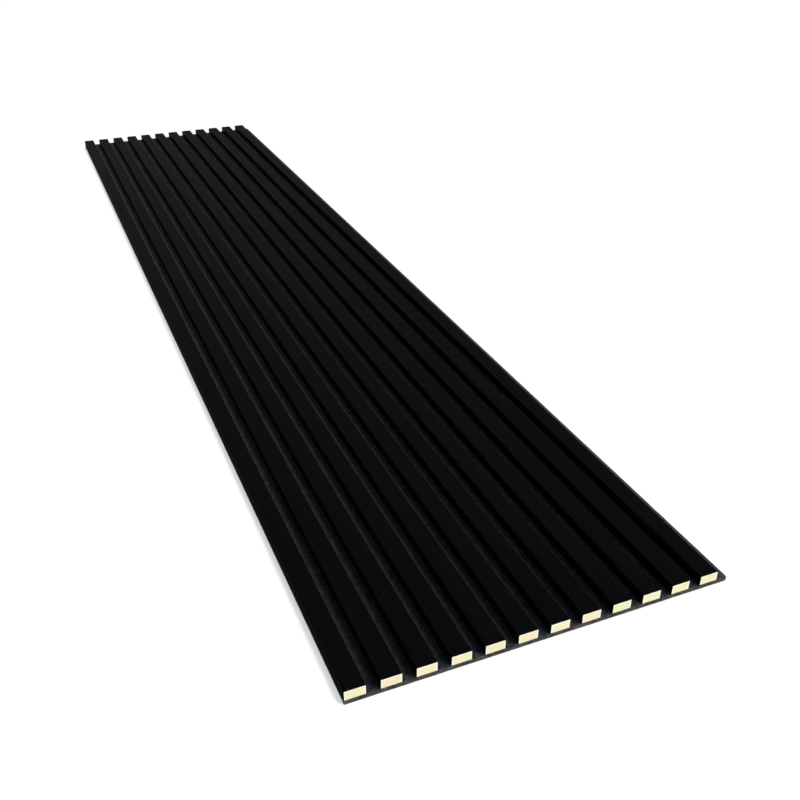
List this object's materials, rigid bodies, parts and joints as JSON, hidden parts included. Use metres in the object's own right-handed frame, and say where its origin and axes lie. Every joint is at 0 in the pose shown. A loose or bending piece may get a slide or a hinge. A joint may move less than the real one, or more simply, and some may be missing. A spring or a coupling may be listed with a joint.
{
  "type": "acoustic slat wall panel",
  "caption": "Flat wall panel of parallel black foil-faced slats with pale raw ends, set with even open grooves on a dark grey felt backing.",
  "frame": {"origin": "centre of the felt's back face, which lies on the ground or against the wall", "axes": "+X across the slats towards the wider bare felt strip, +Y along the slats, +Z out of the slats' fronts"},
  "size_m": [0.6, 2.75, 0.022],
  "materials": {
    "felt": "matte needled fibre",
    "board_core": "raw sawn fibreboard",
    "black_foil": "smooth satin black",
    "staple_wire": "galvanised wire"
  },
  "bodies": {
    "root": {"felt_backing": "felt", "slat_core_01": "board_core", "slat_foil_01": "black_foil", "slat_core_02": "board_core", "slat_foil_02": "black_foil", "slat_core_03": "board_core", "slat_foil_03": "black_foil", "slat_core_04": "board_core", "slat_foil_04": "black_foil", "slat_core_05": "board_core", "slat_foil_05": "black_foil", "slat_core_06": "board_core", "slat_foil_06": "black_foil", "slat_core_07": "board_core", "slat_foil_07": "black_foil", "slat_core_08": "board_core", "slat_foil_08": "black_foil", "slat_core_09": "board_core", "slat_foil_09": "black_foil", "slat_core_10": "board_core", "slat_foil_10": "black_foil", "slat_core_11": "board_core", "slat_foil_11": "black_foil", "slat_core_12": "board_core", "slat_foil_12": "black_foil", "backing_staples": "staple_wire"}
  },
  "joints": []
}
